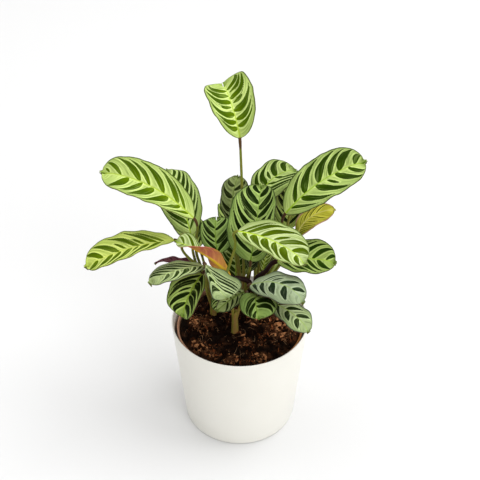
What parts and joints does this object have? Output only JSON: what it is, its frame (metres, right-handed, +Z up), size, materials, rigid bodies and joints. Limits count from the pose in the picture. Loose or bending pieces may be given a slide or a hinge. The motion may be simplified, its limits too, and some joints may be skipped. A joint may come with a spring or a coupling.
{
  "type": "potted foliage plant",
  "caption": "Ctenanthe houseplant with striped oblong leaves on slender stalks, growing in soil in a brown nursery pot that stands inside a plain white tapered cover pot.",
  "frame": {"origin": "centre of the cover pot's flat bottom", "axes": "+Z up along the pot's axis, -Y towards the front of the plant as pictured, +X to its right"},
  "size_m": [0.2624, 0.167, 0.3598],
  "materials": {
    "cover_pot": "satin warm white",
    "nursery_pot": "satin dark brown",
    "soil": "rough dark bark and peat mix",
    "stalks": "satin olive to maroon",
    "leaf_lime": "satin pale lime with green bars",
    "leaf_mid": "satin mid green with darker bars",
    "leaf_deep": "satin deep green",
    "leaf_cool": "satin grey-green with dark bars",
    "leaf_olive": "satin dark olive",
    "leaf_amber": "satin yellow-olive underside",
    "leaf_flushed": "satin green above, orange-red below",
    "leaf_purple": "satin dark purple underside"
  },
  "bodies": {
    "root": {"cover_pot": "cover_pot", "nursery_pot": "nursery_pot", "potting_soil": "soil", "stem_a": "stalks", "stem_b": "stalks", "stem_c": "stalks", "stem_d": "stalks", "stem_e": "stalks", "leaf_01": "leaf_lime", "leaf_02": "leaf_lime", "leaf_03": "leaf_mid", "leaf_04": "leaf_lime", "leaf_05": "leaf_flushed", "leaf_06": "leaf_deep", "leaf_07": "leaf_olive", "leaf_08": "leaf_deep", "leaf_09": "leaf_lime", "leaf_10": "leaf_mid", "leaf_11": "leaf_olive", "leaf_12": "leaf_mid", "leaf_13": "leaf_olive", "leaf_14": "leaf_amber", "leaf_15": "leaf_mid", "leaf_16": "leaf_cool", "leaf_17": "leaf_cool", "leaf_18": "leaf_mid", "leaf_19": "leaf_cool", "leaf_20": "leaf_deep", "leaf_21": "leaf_olive", "leaf_22": "leaf_deep", "leaf_23": "leaf_cool", "leaf_24": "leaf_purple", "leaf_25": "leaf_mid", "leaf_26": "leaf_mid", "leaf_27": "leaf_mid", "leaf_28": "leaf_mid", "leaf_29": "leaf_olive", "leaf_30": "leaf_mid", "leaf_31": "leaf_mid"}
  },
  "joints": []
}
